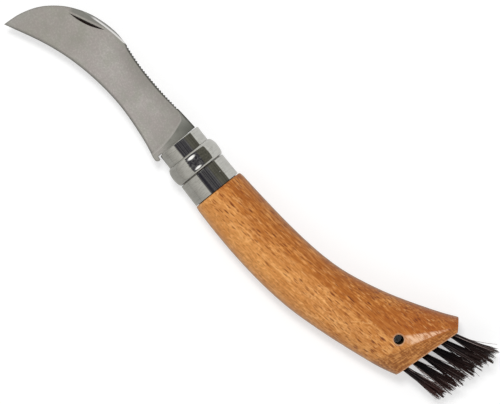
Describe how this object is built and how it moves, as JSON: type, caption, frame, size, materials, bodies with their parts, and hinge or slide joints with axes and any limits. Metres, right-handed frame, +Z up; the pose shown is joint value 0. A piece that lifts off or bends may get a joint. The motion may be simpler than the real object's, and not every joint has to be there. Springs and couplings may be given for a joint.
{
  "type": "folding mushroom knife",
  "caption": "Folding mushroom knife lying open: hooked blade with toothed spine, turning lock ring, curved beech handle with lanyard hole, and a bristle brush in the butt.",
  "frame": {"origin": "on the flat side that the handle rests on, level with the collar's axis and 30 mm behind the middle of the collar's bead", "axes": "+X runs along the collar from the blade to the butt, +Y points to the spine side, +Z points up, out of the side that carries the nail nick"},
  "size_m": [0.2152, 0.0694, 0.0218],
  "materials": {
    "beech": "clear varnish, satin gloss, straight grain with short dark flecks",
    "blade_steel": "fine satin grind",
    "collar_steel": "mirror-polished stainless steel",
    "rivet_steel": "ground flush",
    "boar_hair": "dark natural bristle, slightly glossy",
    "anchor_wire": "drawn flat wire"
  },
  "bodies": {
    "handle_body": {"handle": "beech", "fixed_ferrule": "collar_steel", "pivot_rivet": "rivet_steel", "bristle_tuft_01": "boar_hair", "bristle_tuft_02": "boar_hair", "bristle_tuft_03": "boar_hair", "bristle_tuft_04": "boar_hair", "bristle_tuft_05": "boar_hair", "bristle_tuft_06": "boar_hair", "bristle_tuft_07": "boar_hair", "bristle_tuft_08": "boar_hair", "bristle_tuft_09": "boar_hair", "bristle_tuft_10": "boar_hair", "bristle_tuft_11": "boar_hair", "bristle_tuft_12": "boar_hair", "tuft_anchor_01": "anchor_wire", "tuft_anchor_02": "anchor_wire", "tuft_anchor_03": "anchor_wire", "tuft_anchor_04": "anchor_wire", "tuft_anchor_05": "anchor_wire", "tuft_anchor_06": "anchor_wire", "tuft_anchor_07": "anchor_wire", "tuft_anchor_08": "anchor_wire", "tuft_anchor_09": "anchor_wire", "tuft_anchor_10": "anchor_wire", "tuft_anchor_11": "anchor_wire", "tuft_anchor_12": "anchor_wire"},
    "blade_body": {"blade": "blade_steel"},
    "ring_body": {"locking_ring": "collar_steel"}
  },
  "joints": [
    {"name": "blade_fold", "type": "hinge", "parent": "handle_body", "child": "blade_body", "pos_m": [-0.03, -0.002, 0.0109], "axis": [0, 0, 1], "range_deg": [0, 178]},
    {"name": "ring_turn", "type": "hinge", "parent": "handle_body", "child": "ring_body", "pos_m": [-0.03, 0, 0.0109], "axis": [1, 0, 0], "range_deg": [0, 100]}
  ]
}
